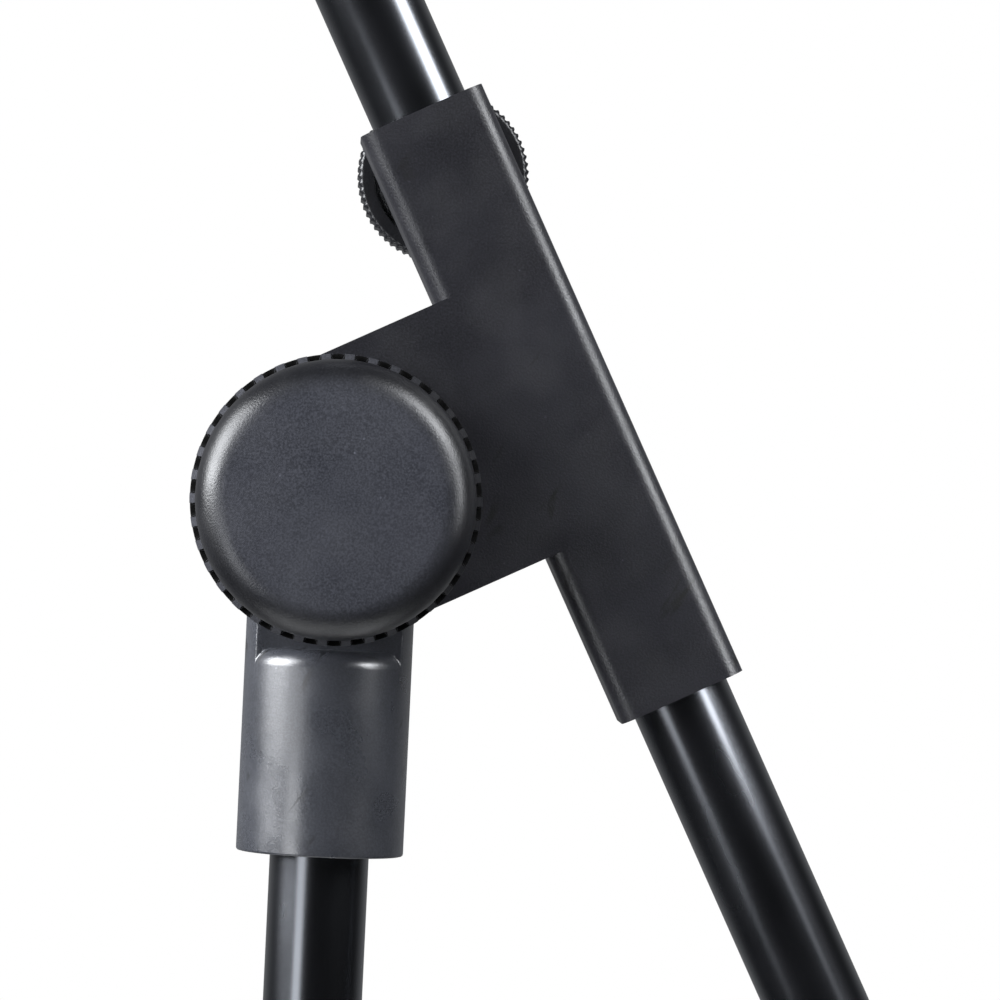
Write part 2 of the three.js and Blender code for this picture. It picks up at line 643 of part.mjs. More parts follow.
function counterNut() {
  const low = BOOM_FRONT + TIP_FLANGE + 2 * GAP;
  const shape = toothedShape(COUNTER_NUT_R, COUNTER_NUT_R - COUNTER_NUT_TOOTH, COUNTER_NUT_TEETH);
  const nut = plate(shape, 0, COUNTER_NUT).rotate([90, 0, 0]).translate([0, 0, low]);
  return nut.subtract(rodZ(TIP_STUD_R + GAP, low - OVERLAP, low + COUNTER_NUT + OVERLAP));
}

function tailCap() {
  const end = BOOM_TAIL - GAP - TAIL_CAP_END;
  const inner = TUBE_R + GAP;
  return turned([
    [0, end], [TAIL_CAP_R - EDGE, end], [TAIL_CAP_R, end + EDGE], [TAIL_CAP_R, BOOM_TAIL + TAIL_CAP_COVER],
    [inner, BOOM_TAIL + TAIL_CAP_COVER], [inner, BOOM_TAIL - GAP], [0, BOOM_TAIL - GAP],
  ]);
}

function addBoom(stand) {
  const clampFrame = new THREE.Group();
  clampFrame.position.z = PIVOT_Z;
  clampFrame.rotation.y = -BOOM_LEAN;
  place(clampFrame, 'boom_clamp', boomClamp(), castBlack);
  const lock = new THREE.Group();
  lock.position.set(BOOM_OFFSET, BOOM_AXIS_Y + TUBE_R, LOCK_UP);
  addSideKnob(lock, 'boom_lock', LOCK_BOSS_END);
  const boom = new THREE.Group();
  boom.position.set(BOOM_OFFSET, BOOM_AXIS_Y, 0);
  place(boom, 'boom_tube', ringZ(TUBE_R - TUBE_WALL, TUBE_R, BOOM_TAIL, BOOM_FRONT), glossBlack);
  place(boom, 'boom_tail_cap', tailCap(), rubberBlack);
  place(boom, 'boom_tip', boomTip(), zinc);
  place(boom, 'counter_nut', counterNut(), mouldedBlack);
  clampFrame.add(lock, boom);
  stand.add(clampFrame);
}

const microphoneStand = new THREE.Group();
const stand = new THREE.Group();
stand.position.y = POLE_Y;
addBase(stand);
addUpright(stand);
addHeightLock(stand);
addTiltJoint(stand);
addBoom(stand);
microphoneStand.add(stand);

export default microphoneStand;
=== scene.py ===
"""Looks of the boom microphone stand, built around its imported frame. Shapes are drawn in millimetres."""

import json
import math

import bmesh
import bpy
import numpy as np
from mathutils import Matrix, Vector


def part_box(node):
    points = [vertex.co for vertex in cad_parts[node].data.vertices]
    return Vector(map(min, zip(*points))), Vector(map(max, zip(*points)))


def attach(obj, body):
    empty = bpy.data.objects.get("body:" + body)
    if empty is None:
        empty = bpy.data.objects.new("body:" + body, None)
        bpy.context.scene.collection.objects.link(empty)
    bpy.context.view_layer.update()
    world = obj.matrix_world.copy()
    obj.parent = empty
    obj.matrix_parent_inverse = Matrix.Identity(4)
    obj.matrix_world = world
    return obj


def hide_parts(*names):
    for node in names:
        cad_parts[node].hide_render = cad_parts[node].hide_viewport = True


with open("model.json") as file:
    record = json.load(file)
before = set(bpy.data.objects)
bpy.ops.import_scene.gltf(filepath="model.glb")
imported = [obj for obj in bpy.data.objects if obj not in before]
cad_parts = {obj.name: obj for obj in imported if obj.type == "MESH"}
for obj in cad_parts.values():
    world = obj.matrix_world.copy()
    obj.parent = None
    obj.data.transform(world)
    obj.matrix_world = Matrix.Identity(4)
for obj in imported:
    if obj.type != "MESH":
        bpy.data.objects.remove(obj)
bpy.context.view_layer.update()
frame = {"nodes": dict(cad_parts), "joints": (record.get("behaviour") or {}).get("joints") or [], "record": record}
record = frame["record"]
joints = {joint["name"]: joint for joint in frame["joints"]}

# ---------------------------------------------------------------- frame of the stand
MM = 0.001
X_AXIS, Y_AXIS, Z_AXIS = Vector((1, 0, 0)), Vector((0, 1, 0)), Vector((0, 0, 1))


def middle(node):
    low, high = (Vector(corner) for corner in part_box(node))
    return (low + high) / 2


def placed(origin, x_axis, y_axis, z_axis):
    """The matrix from millimetres along three axes at an origin to the row frame."""
    turn = Matrix((x_axis, y_axis, z_axis)).transposed().to_4x4()
    return Matrix.Translation(origin) @ turn @ Matrix.Scale(MM, 4)


POLE = Vector((middle("upper_tube").x, middle("upper_tube").y, 0))
PIVOT = Vector((POLE.x, POLE.y, middle("tilt_knob").z))
ALONG = Vector(joints["boom_slide"]["axis"]).normalized()
ACROSS = Y_AXIS.cross(ALONG)
AT_POLE = placed(POLE, X_AXIS, Y_AXIS, Z_AXIS)
AT_PIVOT = placed(PIVOT, X_AXIS, Y_AXIS, Z_AXIS)
AT_CLAMP = placed(PIVOT, ACROSS, Y_AXIS, ALONG)

# ---------------------------------------------------------------- driving dimensions, mm
GAP = 0.3
TUBE_R = 8
TUBE_WALL = 1
TUBE_TOP_DROP = 31.3
LOWER_R = 11
LOWER_WALL = 1.2
SOCKET_R = 13.5
SOCKET_DROP = 57
STEP_DROP = 24.1
STEP_ROUNDING = 2.8
EAR_HALF_DEPTH = 6.8
SEAT_HALF_DEPTH = 8.3
SEAT_R = 13.2
SLAB_R = 22
SLAB_FRONT = -18.5
SLAB_BACK = -9.9
SLEEVE_WIDTH = 21
SLEEVE_HALF = 51
SLEEVE_ROUNDING = 3
BOOM_OFFSET = 37.5
BOOM_Y = -8
LOCK_UP = 41.2
LOCK_BOSS_R = 9
LOCK_BOSS_END = 7
KNOB_R = 23
KNOB_BACK = 20.6
KNOB_FRONT = 33.5
KNOB_GROOVES = 38
KNOB_EDGE_R = 22.1
KNOB_FACE_R = 16.2
KNOB_FLANGE = 2
KNOB_DOME = 0.7
KNOB_GROOVE_DEPTH = 1.5
INSERT_R = 6.3
INSERT_LENGTH = 9.3
BOLT_HOLE_R = 4.2
SIDE_KNOB_R = 14
SIDE_KNOB_TEETH = 69
SIDE_KNOB_LENGTH = 16
BOOM_TAIL = -261
BOOM_FRONT = 560
CAP_R = 9.5
STUD_R = 4.75
STUD_LENGTH = 18
THREAD_PITCH = 25.4 / 16
THREAD_DEPTH = 0.75
NUT_R = 12
NUT_TEETH = 40
LEG_REACH = 318
LEG_TUBE_R = 9.5
LEG_TUBE_WALL = 1.2
LEG_LUG_R = 9
LEG_LUG_HALF = 5
LEG_PIN_R = 3.2
FOOT_R = 13
FOOT_FLAT = 2.5
HUB_LOW = 48
HUB_HIGH = 112
HUB_R = 18
HUB_CHAMFER = 4
CLUTCH_LOW = 812
CLUTCH_HIGH = 880
CLUTCH_LIP = 848
CLUTCH_R = 17
CLUTCH_SCREW_Z = 860
CLUTCH_BOSS_REACH = 24
PIN_OUT = (Vector(joints["leg_1_fold"]["pos_m"]) - POLE).to_2d().length / MM
PIN_Z = joints["leg_1_fold"]["pos_m"][2] / MM
LEG_SLOPE = math.asin((PIN_Z - FOOT_R + FOOT_FLAT) / LEG_REACH)
AT_BOOM = placed(PIVOT + (ACROSS * BOOM_OFFSET + Y_AXIS * BOOM_Y) * MM, ACROSS, Y_AXIS, ALONG)

# ---------------------------------------------------------------- outlines


def rounded(corners, steps=4, closed=True):
    """Corners (a, b, rounding) of an outline as points, with an arc at each corner that has a rounding."""
    count = len(corners)
    points = []
    for k, (a, b, rounding) in enumerate(corners):
        here = Vector((a, b))
        if rounding <= 0 or (not closed and k in (0, count - 1)):
            points.append(here)
            continue
        before = (Vector(corners[k - 1][:2]) - here).normalized()
        after = (Vector(corners[(k + 1) % count][:2]) - here).normalized()
        half = before.angle(after) / 2
        centre = here + (before + after).normalized() * (rounding / math.sin(half))
        start = here + before * (rounding / math.tan(half)) - centre
        end = here + after * (rounding / math.tan(half)) - centre
        for step in range(steps + 1):
            share = step / steps
            points.append(centre + start.lerp(end, share).normalized() * rounding)
    return [tuple(point) for point in points]


def arc(centre_a, centre_b, radius, start, end, steps):
    """Points on an arc, by angle in degrees."""
    turns = [math.radians(start + (end - start) * k / steps) for k in range(steps + 1)]
    return [(centre_a + radius * math.cos(t), centre_b + radius * math.sin(t)) for t in turns]


def circle(radius, count):
    return arc(0, 0, radius, 0, 360 - 360 / count, count - 1)


# ---------------------------------------------------------------- meshes


def new_object(name, points, faces):
    mesh = bpy.data.meshes.new(name)
    mesh.from_pydata([tuple(point) for point in points], [], faces)
    tidy = bmesh.new()
    tidy.from_mesh(mesh)
    bmesh.ops.remove_doubles(tidy, verts=tidy.verts, dist=1e-5)
    bmesh.ops.recalc_face_normals(tidy, faces=tidy.faces)
    tidy.to_mesh(mesh)
    tidy.free()
    made = bpy.data.objects.new(name, mesh)
    bpy.context.scene.collection.objects.link(made)
    return made


def skin(name, rows, ring=False):
    """A closed body from rows of points round an axis. A ring joins its last row to its first."""
    count, columns = rows.shape[:2]
    points = rows.reshape(-1, 3).tolist()
    faces = []
    for i in range(count if ring else count - 1):
        low, high = i * columns, ((i + 1) % count) * columns
        for j in range(columns):
            k = (j + 1) % columns
            faces.append((low + j, low + k, high + k, high + j))
    if not ring:
        for row in (0, count - 1):
            centre = len(points)
            points.append(rows[row].mean(axis=0).tolist())
            start = row * columns
            faces += [(start + j, start + (j + 1) % columns, centre) for j in range(columns)]
    return new_object(name, points, faces)


def turned_rows(outline, columns, depth=None, weights=None):
    """Rows of points of an outline (radius, height) turned round Z. depth cuts into a row by its weight."""
    angles = np.linspace(0, 2 * math.pi, columns, endpoint=False)
    outline = np.array(outline, float)
    radius = outline[:, :1] + np.zeros(columns)
    if depth is not None:
        radius = radius - np.outer(weights, depth)
    height = outline[:, 1:] + np.zeros(columns)
    return np.stack([radius * np.cos(angles), radius * np.sin(angles), height], axis=2)


def turned(name, corners, columns=96, ring=True, steps=4):
    """A turned body. A ring's outline closes on itself; another starts and ends near the axis."""
    outline = rounded(corners, steps, closed=ring)
    return skin(name, turned_rows(outline, columns), ring)


def prism(name, outline, low, high, axis="Z"):
    """An outline swept from low to high along Z, or along Y with the outline drawn in X and Z."""
    count = len(outline)
    ends = [(a, b, height) for height in (low, high) for a, b in outline]
    if axis == "Y":
        ends = [(a, height, b) for a, b, height in ends]
    sides = [(k, (k + 1) % count, count + (k + 1) % count, count + k) for k in range(count)]
    return new_object(name, ends, [tuple(range(count)), tuple(range(count, 2 * count))] + sides)


def rod(name, radius, low, high, axis="Z", columns=64):
    return prism(name, circle(radius, columns), low, high, axis)


def moved(piece, x=0, y=0, z=0, turn=None):
    matrix = Matrix.Translation((x, y, z))
    if turn:
        matrix = matrix @ Matrix.Rotation(math.radians(turn[0]), 4, turn[1])
    piece.data.transform(matrix)
    return piece


def carve(piece, others, operation, solver="EXACT"):
    """Joins other bodies to a piece, or cuts them from it, and removes them."""
    for other in others:
        modifier = piece.modifiers.new("carve", "BOOLEAN")
        modifier.operation = operation
        modifier.solver = solver
        modifier.object = other
    bake_modifiers(piece)
    piece.data.materials.clear()  # a solver may leave an empty slot, which would render white
    for other in others:
        bpy.data.objects.remove(other)
    return piece


def bake_modifiers(piece):
    graph = bpy.context.evaluated_depsgraph_get()
    shaped = bpy.data.meshes.new_from_object(piece.evaluated_get(graph))
    piece.modifiers.clear()
    piece.data = shaped


def smooth(piece, angle):
    """Shades smoothly across edges below an angle, with the normals of large faces kept straight."""
    piece.data.shade_smooth()
    piece.data.set_sharp_from_angle(angle=math.radians(angle))
    modifier = piece.modifiers.new("smooth", "WEIGHTED_NORMAL")
    modifier.mode = "FACE_AREA_WITH_ANGLE"
    modifier.weight = 80
    modifier.keep_sharp = True
    bake_modifiers(piece)


def soften(piece, width, angle=35, segments=3):
    """Rounds every edge sharper than an angle, as a mould or a casting does. width is in millimetres."""
    tidy = bmesh.new()
    tidy.from_mesh(piece.data)
    bmesh.ops.remove_doubles(tidy, verts=tidy.verts, dist=1e-3)
    bmesh.ops.dissolve_limit(tidy, angle_limit=math.radians(0.5), verts=tidy.verts, edges=tidy.edges)
    tidy.to_mesh(piece.data)
    tidy.free()
    modifier = piece.modifiers.new("soften", "BEVEL")
    modifier.width = width
    modifier.segments = segments
    modifier.limit_method = "ANGLE"
    modifier.angle_limit = math.radians(angle)
    modifier.miter_outer = "MITER_ARC"
    bake_modifiers(piece)
    return piece


body_of = {node: body for body, nodes in record["behaviour"]["bodies"].items() for node in nodes}


def stand_in(piece, node, matrix, *materials, sharp=30):
    """Puts a finished piece in place of its node."""
    piece.data.transform(matrix)
    piece.name = f"{node}_fine"
    for material in materials:
        piece.data.materials.append(material)
    smooth(piece, sharp)
    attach(piece, body_of[node])
    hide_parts(node)
    return piece


# ---------------------------------------------------------------- materials


class Shading:
    """A node tree that is built by short calls."""

    def __init__(self, name):
        self.material = bpy.data.materials.new(name)
        self.material.use_nodes = True
        self.tree = self.material.node_tree
        self.shader = self.tree.nodes["Principled BSDF"]
        self.place = self.tree.nodes.new("ShaderNodeTexCoord").outputs["Object"]

    def feed(self, socket, value):
        """Links a socket to another socket, or sets it to a value."""
        if isinstance(value, bpy.types.NodeSocket):
            self.tree.links.new(value, socket)
        else:
            socket.default_value = value

    def node(self, kind, **inputs):
        made = self.tree.nodes.new(kind)
        for key, value in inputs.items():
            self.feed(made.inputs[key], value)
        return made

    def noise(self, scale, detail=3.0, place=None, distortion=0.0):
        made = self.node("ShaderNodeTexNoise", Scale=scale, Detail=detail, Distortion=distortion)
        self.feed(made.inputs["Vector"], place or self.place)
        return made.outputs["Fac"]

    def specks(self, scale, low, high):
        """Round specks of one size: 1 in the middle, falling to 0 between two distances from it."""
        cells = self.node("ShaderNodeTexVoronoi", Scale=scale, Vector=self.place)
        return self.ramp(cells.outputs["Distance"], low, high, 1.0, 0.0)

    def ramp(self, value, low, high, start=0.0, end=1.0):
        made = self.node("ShaderNodeMapRange")
        made.interpolation_type = "SMOOTHSTEP"
        settings = {"Value": value, "From Min": low, "From Max": high, "To Min": start, "To Max": end}
        for key, setting in settings.items():
            self.feed(made.inputs[key], setting)
        return made.outputs["Result"]

    def math(self, operation, first, second):
        made = self.tree.nodes.new("ShaderNodeMath")
        made.operation = operation
        self.feed(made.inputs[0], first)
        self.feed(made.inputs[1], second)
        return made.outputs[0]

    def vector(self, operation, first, second=(0, 0, 0)):
        """The outputs of a vector sum: Vector, or Value for a product or a length."""
        made = self.tree.nodes.new("ShaderNodeVectorMath")
        made.operation = operation
        self.feed(made.inputs[0], first)
        self.feed(made.inputs[1], second)
        return made.outputs

    def mix(self, share, first, second):
        made = self.tree.nodes.new("ShaderNodeMix")
        made.data_type = "RGBA"
        factor, colour_a, colour_b = made.inputs[0], made.inputs[6], made.inputs[7]
        self.feed(factor, share)
        self.feed(colour_a, first)
        self.feed(colour_b, second)
        return made.outputs[2]

    def stretched(self, axis, keep):
        """Object coordinates that run slower along an axis, for marks drawn out along it."""
        height = self.vector("DOT_PRODUCT", self.place, tuple(axis))["Value"]
        along = self.tree.nodes.new("ShaderNodeVectorMath")
        along.operation = "SCALE"
        along.inputs[0].default_value = tuple(axis)
        self.feed(along.inputs["Scale"], self.math("MULTIPLY", height, 1 - keep))
        return self.vector("SUBTRACT", self.place, along.outputs["Vector"])["Vector"]

    def reach(self, centre):
        """The distance from an axis along Y through a centre."""
        offset = self.vector("SUBTRACT", self.place, tuple(centre))["Vector"]
        return self.vector("LENGTH", self.vector("MULTIPLY", offset, (1, 0, 1))["Vector"])["Value"]

    def bump(self, height, distance, strength, before=None):
        made = self.node("ShaderNodeBump", Height=height, Distance=distance, Strength=strength)
        if before is not None:
            self.feed(made.inputs["Normal"], before)
        self.feed(self.shader.inputs["Normal"], made.outputs["Normal"])
        return made.outputs["Normal"]

    def set(self, **values):
        for key, value in values.items():
            self.feed(self.shader.inputs[key.replace("_", " ")], value)


def rgb(red, green, blue):
    return (red, green, blue, 1.0)


RUBBED_COLOUR = rgb(0.003, 0.003, 0.0035)
RUBBED_WAY = (0.5, 0.0, 0.87)
# The colour that painted shade darkens towards.
PAINTED_SHADE_COLOUR = rgb(0.004, 0.004, 0.005)


def times(colour, factor):
    return rgb(*(factor * channel for channel in colour))


def grained_plastic(
    name, dark, light, roughness, specular=0.5,
    ior=1.5, grain=0.00005, grain_scale=3000, rubbed=0.0, painted_shade=None,
):
    """Black moulded plastic: a spark-eroded grain, soft clouds and dust specks.

    rubbed is the strength of the dark marks where it is handled.
    painted_shade is a centre, a start, an end and a share: painted shade darkens the colour by the share, from the
    start to the end of the distance off an axis along Y through the centre.
    """
    s = Shading(name)
    fine = s.noise(grain_scale, 2.0)
    base = s.mix(s.ramp(s.noise(60, 5.0, distortion=0.4), 0.3, 0.7), rgb(*dark), rgb(*light))
    base = s.mix(s.ramp(fine, 0.3, 0.75, 0.0, 0.6), base, times(light, 1.9))
    specks = s.math("MULTIPLY", s.specks(430, 0.04, 0.1), s.ramp(s.noise(300, 1.0), 0.58, 0.66))
    base = s.mix(s.math("MULTIPLY", specks, 0.5), base, times(light, 5))
    rough = s.ramp(s.noise(130, 5.0), 0.3, 0.7, roughness - 0.05, roughness + 0.05)
    if rubbed:
        scuff = rubbed_marks(s, rubbed)
        base = s.mix(scuff, base, RUBBED_COLOUR)
        rough = s.math("ADD", rough, s.math("MULTIPLY", scuff, 0.12))
    # Painted shade: the colour darkens with the distance off an axis along Y through the centre.
    if painted_shade:
        centre, start, end, share = painted_shade
        base = s.mix(s.ramp(s.reach(centre), start, end, 0.0, share), base, PAINTED_SHADE_COLOUR)
    s.set(Base_Color=base, Roughness=rough, Specular_IOR_Level=specular, IOR=ior)
    soft = s.bump(s.noise(330, 3.0), 0.00005, 0.4)
    s.bump(fine, grain, 0.9, before=soft)
    return s.material


def rubbed_marks(s, strength):
    """Slanting marks that gather in a few places."""
    drawn = s.stretched(RUBBED_WAY, 0.25)
    mark = s.ramp(s.noise(340, 4.0, place=drawn, distortion=0.6), 0.59, 0.70)
    return s.math("MULTIPLY", mark, s.ramp(s.noise(60, 1.0), 0.50, 0.60, 0.0, strength))


def lacquered_tube(name, axis):
    """Glossy black lacquer on a drawn steel tube: faint draw lines and dust along the axis."""
    s = Shading(name)
    lines = s.noise(1100, 2.0, place=s.stretched(axis, 0.02))
    haze = s.noise(110, 4.0, place=s.stretched(axis, 0.3))
    dust = s.math("MULTIPLY", s.specks(420, 0.02, 0.06), s.ramp(s.noise(260, 1.0), 0.60, 0.68, 0.0, 0.3))
    base = s.mix(s.ramp(haze, 0.3, 0.7), rgb(0.0010, 0.0011, 0.0015), rgb(0.0025, 0.0026, 0.0034))
    s.set(Base_Color=s.mix(dust, base, rgb(0.07, 0.07, 0.075)))
    s.set(Roughness=s.ramp(haze, 0.3, 0.75, 0.22, 0.28), Specular_IOR_Level=1.0, IOR=1.8)
    s.set(Specular_Tint=rgb(0.88, 0.92, 1.0), Coat_Weight=0.4, Coat_Roughness=0.2)
    orange_peel = s.bump(s.noise(420, 2.0), 0.00002, 0.25)
    s.bump(lines, 0.000004, 0.6, before=orange_peel)
    return s.material


def rubber():
    """Soft black rubber: dull, dusty in patches, with a coarse moulded grain."""
    s = Shading("rubber_dull")
    dust = s.noise(120, 5.0)
    s.set(Base_Color=s.mix(s.ramp(dust, 0.45, 0.75), rgb(0.012, 0.012, 0.012), rgb(0.034, 0.033, 0.031)))
    s.set(Roughness=s.ramp(dust, 0.3, 0.7, 0.62, 0.82), Specular_IOR_Level=0.35)
    s.bump(s.noise(1500, 3.0), 0.00005, 0.5)
    return s.material


def plated(name, colour, dull, roughness):
    """Plated or turned metal: fine turning marks and small dull patches."""
    s = Shading(name)
    patch = s.noise(240, 5.0)
    lines = s.noise(2200, 2.0, place=s.stretched(Y_AXIS, 6.0))
    s.set(Base_Color=s.mix(s.ramp(patch, 0.4, 0.75), rgb(*colour), rgb(*dull)), Metallic=1.0)
    s.set(Roughness=s.ramp(patch, 0.3, 0.75, roughness, roughness + 0.18))
    s.bump(lines, 0.00001, 0.5)
    return s.material


def plain_grain(name, dark, light, roughness, scale):
    """Nylon or pressed fibre: a mottled colour with a soft grain."""
    s = Shading(name)
    mottle = s.noise(scale, 5.0)
    s.set(Base_Color=s.mix(s.ramp(mottle, 0.35, 0.7), rgb(*dark), rgb(*light)))
    s.set(Roughness=s.ramp(mottle, 0.3, 0.7, roughness - 0.06, roughness + 0.06))
    s.bump(s.noise(scale * 3, 3.0), 0.00004, 0.5)
    return s.material


# Painted shade on the tilt knob's rounded rim: the colour darkens from 16 to 20.5 mm off the pivot's axis and
# stays dark farther out.
knob_black = grained_plastic(
    "knob_black", (0.034, 0.036, 0.045), (0.056, 0.058, 0.070), 0.36, 0.8, grain=0.00004,
    painted_shade=(PIVOT, 0.0160, 0.0205, 0.88),
)
# Near-black painted shadow for the groove floors and the flange's front, where the grooves fall into shade.
groove_painted_shadow = grained_plastic("groove_painted_shadow", (0.002, 0.002, 0.002), (0.004, 0.004, 0.004), 0.8, 0.1)
# The ribs get a darker plastic with painted shade on the right-hand ribs: the colour darkens from 33 to 40 mm off
# an axis 20 mm left of the pivot.
rib_shade_painted = grained_plastic(
    "rib_shade_painted", (0.036, 0.037, 0.043), (0.048, 0.049, 0.057), 0.5, 0.3,
    painted_shade=(PIVOT - X_AXIS * 0.02, 0.033, 0.040, 0.8),
)
clamp_black = grained_plastic(
    "clamp_black", (0.011, 0.011, 0.014), (0.021, 0.021, 0.026), 0.40, 0.9, grain=0.00006, rubbed=0.9
)
socket_black = grained_plastic(
    "socket_black", (0.034, 0.036, 0.043), (0.052, 0.055, 0.065), 0.31, 1.0,
    ior=1.65, grain=0.000015, rubbed=0.9,
)
cast_black = grained_plastic(
    "cast_black", (0.014, 0.014, 0.016), (0.024, 0.024, 0.027), 0.48, grain=0.00008, grain_scale=1400
)
rubber_dull = rubber()
zinc_plate = plated("zinc_plate", (0.62, 0.64, 0.66), (0.42, 0.43, 0.44), 0.26)
turned_brass = plated("turned_brass", (0.72, 0.52, 0.22), (0.48, 0.34, 0.15), 0.28)
natural_nylon = plain_grain("natural_nylon", (0.60, 0.58, 0.50), (0.74, 0.72, 0.65), 0.5, 90)
pressed_fibre = plain_grain("pressed_fibre", (0.045, 0.030, 0.020), (0.11, 0.075, 0.05), 0.8, 700)

# ---------------------------------------------------------------- tilt joint


def grooved_depth(grooves, depth):
    """Cut depth round the knob: each pitch is a flat rib, a steep flank, a groove and a flank."""
    shares = np.array([0, 0, 0, 0, 0, 0.55, 1, 1, 1, 0.55])
    return np.tile(shares * depth, grooves)


def knob_profile(shoulder, flange):
    """Radius, height and share of the groove depth, from the middle of the face to the insert's bore."""
    face = [(r, KNOB_FRONT - KNOB_DOME * (r / KNOB_FACE_R) ** 2) for r in (1, 4, 7, 10, 12, 14, 15.5)]
    rim = arc(KNOB_FACE_R, shoulder, KNOB_EDGE_R - KNOB_FACE_R, 82, 8, 14)
    return np.array([(radius, height, 0.0) for radius, height in face + rim] + [
        (KNOB_EDGE_R, shoulder + 0.3, 0.15),
        (KNOB_EDGE_R + 0.05, shoulder - 0.2, 0.3),
        (KNOB_EDGE_R + 0.1, shoulder - 0.4, 1.0),
        (KNOB_R - 0.1, shoulder - 1.7, 1.0),
        (KNOB_R, shoulder - 2.0, 1.0),
        (KNOB_R, flange + 0.15, 1.0),
        (KNOB_R, flange, 0.1),
        (KNOB_R, flange - 0.1, 0.0),
        (KNOB_R, KNOB_BACK + 0.5, 0.0),
        (KNOB_R - 0.15, KNOB_BACK + 0.15, 0.0),
        (KNOB_R - 0.5, KNOB_BACK, 0.0),
        (INSERT_R + 0.3, KNOB_BACK, 0.0),
        (INSERT_R, KNOB_BACK + 0.3, 0.0),
        (INSERT_R, KNOB_BACK + INSERT_LENGTH, 0.0),
        (0.5, KNOB_BACK + INSERT_LENGTH, 0.0),
    ])


def tilt_knob():
    """A domed, ribbed hand knob. Its grooves run back to a flange that closes them."""
    shoulder = KNOB_FRONT - KNOB_DOME - (KNOB_EDGE_R - KNOB_FACE_R)
    flange = KNOB_BACK + KNOB_FLANGE
    profile = knob_profile(shoulder, flange)
    depth = grooved_depth(KNOB_GROOVES, KNOB_GROOVE_DEPTH)
    piece = skin("knob", turned_rows(profile[:, :2], len(depth), depth, profile[:, 2]))
    # Slot 1, on the groove floors and the flange's front, is painted shadow; slot 2, on the ribs, is a darker
    # plastic with painted shade.
    for face in piece.data.polygons:
        radius = Vector(face.center).to_2d().length
        in_groove = radius < KNOB_R - 0.5 and flange < face.center.z < shoulder - 0.45
        on_flange = face.normal.z > 0.5 and abs(face.center.z - flange) < 0.2
        on_rib = radius > KNOB_EDGE_R and not in_groove
        face.material_index = 1 if in_groove or on_flange else 2 * int(on_rib)
    piece.data.transform(Matrix.Rotation(math.radians(90), 4, "X"))
    stand_in(piece, "tilt_knob", AT_PIVOT, knob_black, groove_painted_shadow, rib_shade_painted, sharp=50)


def socket_angles():
    """Turns round the socket, closer together where the flats of the ear meet the cylinder."""
    edge = math.degrees(math.acos(EAR_HALF_DEPTH / SOCKET_R))
    turns = set(np.arange(0, 360, 2.5).round(3))
    for corner in (edge, 180 - edge, 180 + edge, 360 - edge):
        turns |= {round(corner + side * step, 3) for step in (0, 0.4, 1.0, 2.0) for side in (-1, 1)}
    return np.radians(sorted(turns))


def ear_reach(angles):
    """Distance from the axis to the ear's side: a cylinder with two flats and softened edges."""
    softness = 0.12
    flat = EAR_HALF_DEPTH / np.maximum(np.abs(np.cos(angles)), 1e-6)
    return -softness * np.logaddexp(-SOCKET_R / softness, -flat / softness)


def socket_row(angles, reach, height):
    reach = reach + np.zeros(len(angles))
    return np.stack([reach * np.sin(angles), -reach * np.cos(angles), height + np.zeros(len(angles))], axis=1)


def socket_profile(ear):
    """Reach and height of each row: the bore's rim, the cylinder, its rounded ledge and the ear's side."""
    bore = TUBE_R + GAP
    rows = [(bore, -SOCKET_DROP + 6), (bore, -SOCKET_DROP + 0.4), (bore + 0.4, -SOCKET_DROP)]
    lip = ((0.4, 0), (0.2, 0.05), (0.05, 0.2), (0, 0.4))
    rows += [(SOCKET_R - inset, -SOCKET_DROP + lift) for inset, lift in lip]
    rows += [(SOCKET_R, height) for height in np.linspace(-SOCKET_DROP + 3, -STEP_DROP - STEP_ROUNDING, 10)]
    for turn in np.linspace(0.1, 1, 12) * math.pi / 2:
        inset = STEP_ROUNDING * (1 - math.cos(turn))
        rows.append((np.maximum(SOCKET_R - inset, ear), -STEP_DROP - STEP_ROUNDING * (1 - math.sin(turn))))
    inner = np.maximum(SOCKET_R - STEP_ROUNDING - 0.6, ear)
    rows += [(inner, -STEP_DROP + 0.02), (np.minimum(ear + 0.25, inner), -STEP_DROP + 0.06)]
    rows.append((ear, -STEP_DROP + 0.4))
    return rows + [(ear, height) for height in np.linspace(-STEP_DROP + 2, 0, 8)]


def socket():
    """The casting on the upright: a cylinder and an ear above it, with a round seat on each flat."""
    angles = socket_angles()
    ear = ear_reach(angles)
    rows = [socket_row(angles, reach, height) for reach, height in socket_profile(ear)]
    for shrink in (1.0, 0.97, 0.9, 0.75, 0.5, 0.2):
        x = shrink * ear * np.sin(angles)
        arch = np.sqrt(np.maximum(SOCKET_R**2 - x**2, 0)) - (0.15 if shrink == 1 else 0)
        rows.append(socket_row(angles, shrink * ear, arch))
    piece = skin("socket", np.array(rows))
    seat = turned("seat", seat_corners(), 96, ring=False)
    seat.data.transform(Matrix.Rotation(math.radians(90), 4, "X"))
    carve(piece, [seat], "UNION", solver="MANIFOLD")
    stand_in(piece, "socket", AT_PIVOT, socket_black, sharp=40)


def seat_corners():
    low, high = -SEAT_HALF_DEPTH, SEAT_HALF_DEPTH
    return [(0.2, low, 0), (SEAT_R, low, 0.4), (SEAT_R, high, 0.4), (0.2, high, 0)]


def rounded_square(centre_a, centre_b, width, rounding):
    half = width / 2
    corners = [(-half, -half), (half, -half), (half, half), (-half, half)]
    return rounded([(centre_a + a, centre_b + b, rounding) for a, b in corners], steps=10)


